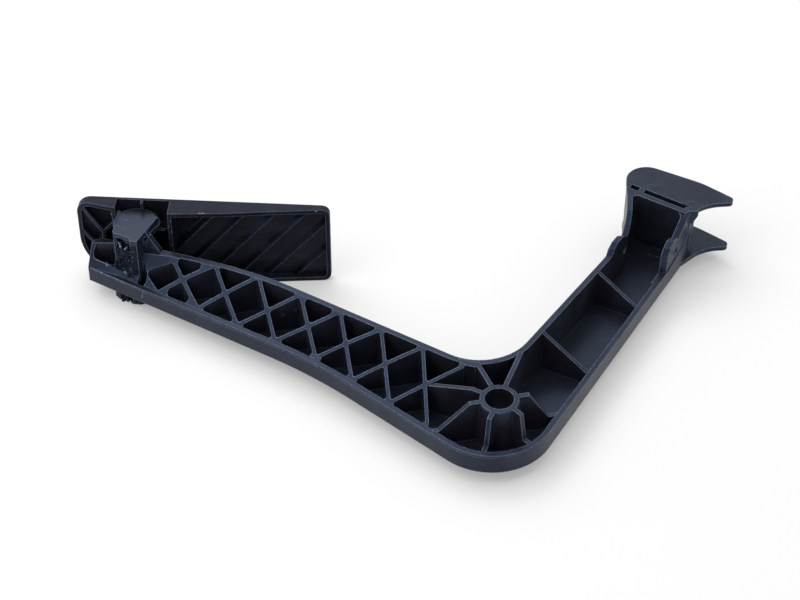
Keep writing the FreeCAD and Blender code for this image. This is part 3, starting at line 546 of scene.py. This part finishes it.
def scratch(name, surface, pixels, width, material, body, seed):
    """A jagged scratch through places in the photograph."""
    points, normals = [], []
    for start, end in zip(pixels, pixels[1:]):
        for k in range(SCRATCH_STEPS):
            t = k / SCRATCH_STEPS
            point, normal = surface.at([a + (b - a) * t for a, b in zip(start, end)])
            points.append(point)
            normals.append(normal)
    return bead(name, points, normals, width, material, body, SCRATCH_RAGGED, seed)


def crumbs(name, surface, pixels, size, material, body, seed, stretch=CRUMB_STRETCH):
    """Small torn crumbs that stick to a surface, as one piece; places that miss it are left out."""
    chance = random.Random(seed)
    build = bmesh.new()
    lump_depth, lump_scale = CRUMB_LUMPS
    for pixel in pixels:
        point, normal = surface.at(pixel)
        if point is None:
            continue
        turn = normal.to_track_quat("Z", "Y").to_matrix().to_4x4()
        scale = size * chance.uniform(*CRUMB_SIZES)
        length = scale * chance.uniform(CRUMB_LEAST_LENGTH, stretch)
        shape = Matrix.Diagonal((length, scale, scale * CRUMB_HEIGHT, 1.0))
        spin = Matrix.Rotation(chance.uniform(0.0, math.pi), 4, "Z")
        made = bmesh.ops.create_icosphere(build, subdivisions=LUMP_SUBDIVISIONS, radius=1.0)
        for vert in made["verts"]:
            spot = vert.co * lump_scale + Vector((pixel[0], pixel[1], 0.0))
            vert.co *= 1.0 + lump_depth * cloud.noise(spot)
        matrix = Matrix.Translation(point) @ turn @ spin @ shape
        bmesh.ops.transform(build, matrix=matrix, verts=made["verts"])
    return make_piece(name, build, material, body)


def prism(build, below, above):
    """Faces between two rings of corners in millimetres, one under the other."""
    below = [build.verts.new(Vector(corner) * MM) for corner in below]
    above = [build.verts.new(Vector(corner) * MM) for corner in above]
    build.faces.new(below)
    build.faces.new(above)
    for k in range(len(below)):
        n = (k + 1) % len(below)
        build.faces.new((below[k], below[n], above[n], above[k]))


def rounded_chain(corners, radii, steps=24):
    """Plan points along a chain of corners, with an arc at each bend."""
    path = [Vector(corners[0])]
    for before, corner, after, radius in zip(corners, corners[1:], corners[2:], radii[1:]):
        here = Vector(corner)
        to_before = (Vector(before) - here).normalized()
        to_after = (Vector(after) - here).normalized()
        half = to_before.angle(to_after) / 2.0
        reach = radius / math.tan(half)
        centre = here + (to_before + to_after).normalized() * (radius / math.sin(half))
        start = here + to_before * reach - centre
        sweep = start.angle_signed(here + to_after * reach - centre)
        for k in range(steps + 1):
            turned = start.copy()
            turned.rotate(Matrix.Rotation(-sweep * k / steps, 2))
            path.append(centre + turned)
    path.append(Vector(corners[-1]))
    return path


def spaced(path, step, shortest=1e-6):
    """Points at an even step along a polyline, with the outward side of each."""
    points, sides = [], []
    for start, end in zip(path, path[1:]):
        length = (end - start).length
        if length < shortest:
            continue
        along = (end - start) / length
        count = max(1, round(length / step))
        for k in range(count):
            points.append(start + along * length * k / count)
            sides.append(Vector((along.y, -along.x)))
    return points, sides


def wall_top(point):
    """Height of the outer wall's top beside a plan point: it falls evenly towards the tip."""
    a = math.radians(LEG_ANGLE)
    run = max(0.0, -point.x * math.cos(a) + point.y * math.sin(a))
    return WALL_TOP + (WALL_TOP_TIP - WALL_TOP) * min(1.0, run / LEG_LENGTH)


def wall_lines(pale, plastic):
    """Flash along the outer wall's top edge and the mould's parting line below it."""
    points, sides = spaced(rounded_chain(WALL_CORNERS, WALL_RADII), LINE_STEP)
    near_tip = round(len(points) * TIP_FLASH_SHARE)
    near_boss = round(len(points) * LEG_FLASH_SHARE)

    def line(name, first, last, drop, tilt, width, material, ragged):
        places = [Vector((p.x, p.y, wall_top(p) - drop)) * MM for p in points[first:last]]
        out = [Vector((n.x, n.y, tilt)).normalized() for n in sides[first:last]]
        bead(name, places, out, width * MM, material, "arm", ragged, first + LINE_SEED)

    line("rim_flash_tip", 1, near_tip, FLASH_DROP, FLASH_TILT, TIP_FLASH_WIDTH, pale, TIP_FLASH_RAGGED)
    line("rim_flash_leg", near_tip, near_boss, FLASH_DROP, FLASH_TILT, LEG_FLASH_WIDTH, plastic,
         LEG_FLASH_RAGGED)
    line("parting_line", 1, near_boss, PARTING_DROP, 0.0, PARTING_WIDTH, plastic, PARTING_RAGGED)


def lattice_foot(material):
    """Plastic that joins one crossing of the lattice to the outer wall."""
    build = bmesh.new()
    prism(build, [(x, y, FOOT_LOW) for x, y, _ in FOOT_FILL], FOOT_FILL)
    bmesh.ops.triangulate(build, faces=build.faces)
    bmesh.ops.recalc_face_normals(build, faces=build.faces)
    return make_piece("lattice_foot", build, material, "arm", smooth=False)


def pad_point(u, w, z):
    """A point of the pad's own plan in the common frame, in metres."""
    a = math.radians(PAD_ANGLE)
    x = HINGE[0] + u * math.cos(a) - w * math.sin(a)
    y = HINGE[1] + u * math.sin(a) + w * math.cos(a)
    return Vector((x, y, z)) * MM


def clip_run(start, along, box):
    """Nearest and farthest distance at which a line is inside a box given as u0, u1, z0, z1."""
    limits = []
    for value, step, low, high in zip(start, along, box[0::2], box[1::2]):
        limits.append(sorted(((low - value) / step, (high - value) / step)))
    return max(pair[0] for pair in limits), min(pair[1] for pair in limits)


def ridge_row(build, start, along, w):
    """Two corners at one depth, where a line along the ridge enters and leaves the ridges' box."""
    row = []
    for d in clip_run(start, along, RIDGE_BOX):
        row.append(build.verts.new(pad_point(start[0] + along[0] * d, w, start[1] + along[1] * d)))
    return row


def ridge_ramp(name, crest, along, across, plastic):
    """One hollow ramp that rises to a ridge's crest, closed underneath and at its ends."""
    build = bmesh.new()
    rows = []
    for i in range(RAMP_STEPS + 1):
        t = i / RAMP_STEPS
        back = RAMP_WIDTH * (1.0 - t)
        start = (crest[0] - across[0] * back, crest[1] - across[1] * back)
        rise = (RIDGE_H + RAMP_SINK) * (1.0 - math.cos(math.pi / 2 * t))
        rows.append(ridge_row(build, start, along, TREAD_W + RAMP_SINK - rise))
    for first, second in zip(rows, rows[1:]):
        build.faces.new((first[0], first[1], second[1], second[0]))
    deep = ridge_row(build, crest, along, TREAD_W + RAMP_SINK)
    build.faces.new((rows[-1][0], rows[-1][1], deep[1], deep[0]))
    build.faces.new((rows[0][1], rows[0][0], deep[0], deep[1]))
    build.faces.new([row[0] for row in rows] + [deep[0]])
    build.faces.new([row[1] for row in reversed(rows)] + [deep[1]])
    bmesh.ops.recalc_face_normals(build, faces=build.faces)
    ramp = make_piece(name, build, plastic, "foot_pad")
    for face in ramp.data.polygons[RAMP_STEPS:]:
        face.use_smooth = False


def ridge_ramps(plastic):
    """A ramp to each slanting ridge on the pad's back."""
    a = math.radians(RIDGE_ANGLE)
    along = (math.cos(a), math.sin(a))
    across = (math.sin(a), -math.cos(a))
    for k in range(RIDGE_COUNT):
        crest = (RIDGE_FIRST[0] + k * RIDGE_PITCH, RIDGE_FIRST[1])
        ridge_ramp("ridge_ramp_%d" % (k + 1), crest, along, across, plastic)


def torn_skin(name, line, heights, depth, seed, material):
    """A crumpled skin of torn plastic over an upright stretch, pinned at its edges."""
    start, end = Vector(line[0]), Vector(line[1])
    along = (end - start).normalized()
    out = Vector((along.y, -along.x))
    length = (end - start).length
    low, high = heights
    columns = max(SKIN_FEWEST[0], round(length / SKIN_STEP[0]))
    lines = max(SKIN_FEWEST[1], round((high - low) / SKIN_STEP[1]))
    build = bmesh.new()
    grid = []
    for j in range(lines + 1):
        row = []
        for i in range(columns + 1):
            u, v = i / columns, j / lines
            edge = min(1.0, SKIN_GROWTH[0] * min(u, 1.0 - u)) * min(1.0, SKIN_GROWTH[1] * min(v, 1.0 - v))
            at = Vector((u * length * CREASE_SCALE[0], v * (high - low) * CREASE_SCALE[1], seed))
            crumple = cloud.ridged_multi_fractal(at, *CREASE_NOISE) * CREASE_DEPTH
            push = depth * (SKIN_REST + edge * crumple)
            spot = start + along * length * u + out * push
            row.append(build.verts.new(Vector((spot.x, spot.y, low + (high - low) * v)) * MM))
        grid.append(row)
    for below, above in zip(grid, grid[1:]):
        for i in range(columns):
            build.faces.new((below[i], below[i + 1], above[i + 1], above[i]))
    bmesh.ops.recalc_face_normals(build, faces=build.faces)
    return make_piece(name, build, material, "arm")


def torn_window(torn, grey):
    """Torn skins in the hinge window, with flecks scattered over each."""
    chance = random.Random(FLECK_PLACE_SEED)
    for i, (line, heights, depth, seed) in enumerate(TORN_SKINS):
        skin = torn_skin("torn_skin_%d" % (i + 1), line, heights, depth, seed, torn)
        places = [tuple(chance.uniform(a, b) for a, b in zip(*FLECK_BOX_PX)) for _ in range(FLECK_COUNT)]
        crumbs("torn_flecks_%d" % (i + 1), Surface(skin), places, FLECK_SIZE * MM, grey, "arm",
               FLECK_SHAPE_SEED + i, FLECK_STRETCH)


def hook(name, place, top, lean, material):
    """One curled strip of torn plastic at the top of the hinge window, pale as a painted glint."""
    points = []
    for k in range(HOOK_STEPS + 1):
        t = k / HOOK_STEPS
        curl = math.sin(math.pi * HOOK_CURL * t)
        x = place[0] + lean * HOOK_SIZE * (curl - HOOK_START)
        y = place[1] - HOOK_OUT * curl
        z = top - HOOK_DROP * HOOK_SIZE * t
        points.append(Vector((x, y, z)) * MM)
    normals = [Vector(HOOK_FACING).normalized()] * len(points)
    return bead(name, points, normals, HOOK_SIZE * MM, material, "arm", HOOK_RAGGED, round(top))


def lug_tip_highlight(material):
    """The end of the pad's upper snap ring, left of the cap, pale as a painted highlight."""
    build = bmesh.new()
    low, high = LUG_TIP_Z
    prism(build, [(x, y, low) for x, y in LUG_TIP], [(x, y, high) for x, y in LUG_TIP])
    bmesh.ops.recalc_face_normals(build, faces=build.faces)
    return make_piece("lug_tip_highlight", build, material, "foot_pad", smooth=False)


def lug_burr(material):
    """The torn lower edge between the fingers of the pad's lower lug."""
    build = bmesh.new()
    chance = random.Random(BURR_SEED)
    first, last = BURR_ANGLES
    lump_depth, lump_scale = BURR_LUMPS
    for k in range(BURR_COUNT):
        angle = math.radians(first + (last - first) * k / (BURR_COUNT - 1))
        radius = BURR_RADIUS + chance.uniform(-BURR_SPREAD, BURR_SPREAD)
        z = chance.uniform(*BURR_Z)
        size = chance.uniform(*BURR_SIZES)
        made = bmesh.ops.create_icosphere(build, subdivisions=LUMP_SUBDIVISIONS, radius=size)
        middle = Vector((HINGE[0] + radius * math.cos(angle), HINGE[1] + radius * math.sin(angle), z))
        for vert in made["verts"]:
            spot = vert.co * lump_scale + Vector((k * BURR_NEXT, 0.0, 0.0))
            vert.co *= 1.0 + lump_depth * cloud.noise(spot)
            vert.co += middle
            vert.co.z = max(vert.co.z, FLOOR_Z / MM + BURR_CLEAR)
            vert.co *= MM
    return make_piece("lug_burr", build, material, "foot_pad", smooth=False)


def ear_rim(material):
    """The raised rim round the hole in the right ear, light grey as a painted highlight."""
    first, last = EAR_RIM_ANGLES
    x, y, z = EAR_HOLE
    points = []
    for k in range(EAR_RIM_STEPS + 1):
        a = math.radians(first + (last - first) * k / EAR_RIM_STEPS)
        points.append(Vector((x, y + EAR_RIM_R * math.cos(a), z + EAR_RIM_R * math.sin(a))) * MM)
    normals = [Vector((1.0, 0.0, 0.0))] * len(points)
    return bead("ear_hole_rim", points, normals, EAR_RIM_WIDTH * MM, material, "arm", EAR_RIM_RAGGED,
                EAR_RIM_SEED)


def shelf_crumbs(surface, looks):
    """Dark lumps and pale crumbs of torn plastic on the tip's shelf."""
    chance = random.Random(SHELF_SEED)
    for name, look, size, seed in SHELF_CRUMBS:
        places = []
        for _ in range(SHELF_COUNT):
            t = chance.uniform(0.0, 1.0)
            place = [a + (b - a) * t + chance.gauss(0.0, SHELF_SPREAD_PX) for a, b in zip(*SHELF_LINE_PX)]
            places.append(place)
        crumbs(name, surface, places, size * MM, looks[look], "arm", seed)


def round_mark(name, surface, pixel, half_size, height, material):
    """A shallow round mark in the arm: a low dome that fades into the surface."""
    place, normal = surface.at(pixel)
    build = bmesh.new()
    centre = build.verts.new((0.0, 0.0, height))
    before = None
    for r in range(1, MARK_RINGS + 1):
        t = r / MARK_RINGS
        lift = height * 0.5 * (1.0 + math.cos(math.pi * t))
        if r == MARK_RINGS:
            lift -= MARK_SINK * MM
        ring = []
        for k in range(MARK_SPOKES):
            a = 2 * math.pi * k / MARK_SPOKES
            x = half_size[0] * MM * t * math.cos(a)
            y = half_size[1] * MM * t * math.sin(a)
            ring.append(build.verts.new((x, y, lift)))
        for k in range(MARK_SPOKES):
            n = (k + 1) % MARK_SPOKES
            if before:
                build.faces.new((before[k], ring[k], ring[n], before[n]))
            else:
                build.faces.new((centre, ring[k], ring[n]))
        before = ring
    turn = normal.to_track_quat("Z", "Y").to_matrix().to_4x4()
    bmesh.ops.transform(build, matrix=Matrix.Translation(place) @ turn, verts=build.verts)
    return make_piece(name, build, material, "arm")


def wear(frame, looks):
    """Flash, scratches, crumbs and marks, each on the moulding that carries it."""
    surfaces = {name: Surface(frame["nodes"][name]) for name in MOULDINGS}
    wall_lines(looks["pale"], looks["arm"])
    ridge_ramps(looks["foot_pad"])
    torn_window(looks["torn"], looks["grey"])
    for i, (place, top, lean) in enumerate(HOOKS):
        hook("window_hook_glint_%d" % (i + 1), place, top, lean, looks["pale"])
    lattice_foot(looks["arm"])
    ear_rim(looks["grey"])
    lug_tip_highlight(looks["pale"])
    lug_burr(looks["torn"])
    for name, body, width, look, seed, pixels in SCRATCHES_PX:
        scratch(name, surfaces[body], pixels, width * MM, looks[look], body, seed)
    shelf_crumbs(surfaces["arm"], looks)
    crumbs("pad_crumbs_and_glints", surfaces["foot_pad"], PAD_CRUMBS_AND_GLINTS_PX, PAD_CRUMB_SIZE * MM, looks["pale"],
           "foot_pad", PAD_CRUMB_SEED)
    for name, pixel, half_size, height, look in ROUND_MARKS_PX:
        round_mark(name, surfaces["arm"], pixel, half_size, height * MM, looks[look])


def white_rays(tree):
    """1 for what the camera, reflections and transmission see, 0 for light that falls on things."""
    path = add(tree, "ShaderNodeLightPath")
    seen = math_node(tree, "MAXIMUM", path.outputs["Is Camera Ray"], path.outputs["Is Transmission Ray"])
    return math_node(tree, "MAXIMUM", seen, path.outputs["Is Glossy Ray"])


def floor():
    """A plain pale floor that reads white to the camera and keeps the part's shadow."""
    bpy.ops.mesh.primitive_plane_add(size=FLOOR_SIZE, location=(*FLOOR_MIDDLE, FLOOR_Z))
    plane = bpy.context.object
    plane.name = "floor"
    material = bpy.data.materials.new("floor_pale")
    tree, output = node_tree(material)
    shader = add(tree, "ShaderNodeBsdfPrincipled", Roughness=FLOOR_ROUGHNESS)
    shader.inputs["Base Color"].default_value = (FLOOR_GREY, FLOOR_GREY, FLOOR_GREY, 1.0)
    glow = add(tree, "ShaderNodeEmission", Color=WHITE)
    mix = add(tree, "ShaderNodeMixShader")
    tree.links.new(math_node(tree, "MULTIPLY", white_rays(tree), FLOOR_WHITE), mix.inputs["Fac"])
    tree.links.new(shader.outputs["BSDF"], mix.inputs[1])
    tree.links.new(glow.outputs["Emission"], mix.inputs[2])
    tree.links.new(mix.outputs["Shader"], output.inputs["Surface"])
    plane.data.materials.append(material)


def backdrop():
    """White world to the camera and in reflections, pale grey as light."""
    world = bpy.data.worlds.new("studio")
    bpy.context.scene.world = world
    world.use_nodes = True
    tree = world.node_tree
    tree.nodes.clear()
    output = tree.nodes.new("ShaderNodeOutputWorld")
    strength = span(tree, white_rays(tree), 0.0, 1.0, WORLD_LIGHT, 1.0)
    background = add(tree, "ShaderNodeBackground", Color=WHITE)
    tree.links.new(strength, background.inputs["Strength"])
    tree.links.new(background.outputs["Background"], output.inputs["Surface"])


def lights():
    """Broad softboxes behind at the left and overhead, and a weaker one at the front left."""
    for name, place, size, power in LAMPS:
        data = bpy.data.lights.new(name, "AREA")
        data.shape = "RECTANGLE"
        data.size, data.size_y = size
        data.energy = power
        lamp = bpy.data.objects.new(name, data)
        bpy.context.collection.objects.link(lamp)
        lamp.location = place
        lamp.rotation_euler = (Vector(LAMP_AIM) - Vector(place)).to_track_quat("-Z", "Y").to_euler()


def camera():
    """The photograph's camera."""
    data = bpy.data.cameras.new("camera")
    data.lens = LENS_MM
    data.sensor_width = SENSOR_MM
    data.sensor_fit = "HORIZONTAL"
    data.clip_start = CAMERA_NEAR
    eye = bpy.data.objects.new("camera", data)
    bpy.context.collection.objects.link(eye)
    eye.location = CAMERA_AT
    eye.rotation_euler = (math.radians(CAMERA_TILT), 0.0, 0.0)
    bpy.context.scene.camera = eye


def main():
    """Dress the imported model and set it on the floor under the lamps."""
    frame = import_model()
    bpy.context.scene.view_settings.view_transform = "Standard"
    camera()
    looks = make_looks()
    dress_nodes(frame, looks)
    wear(frame, looks)
    floor()
    backdrop()
    lights()


main()
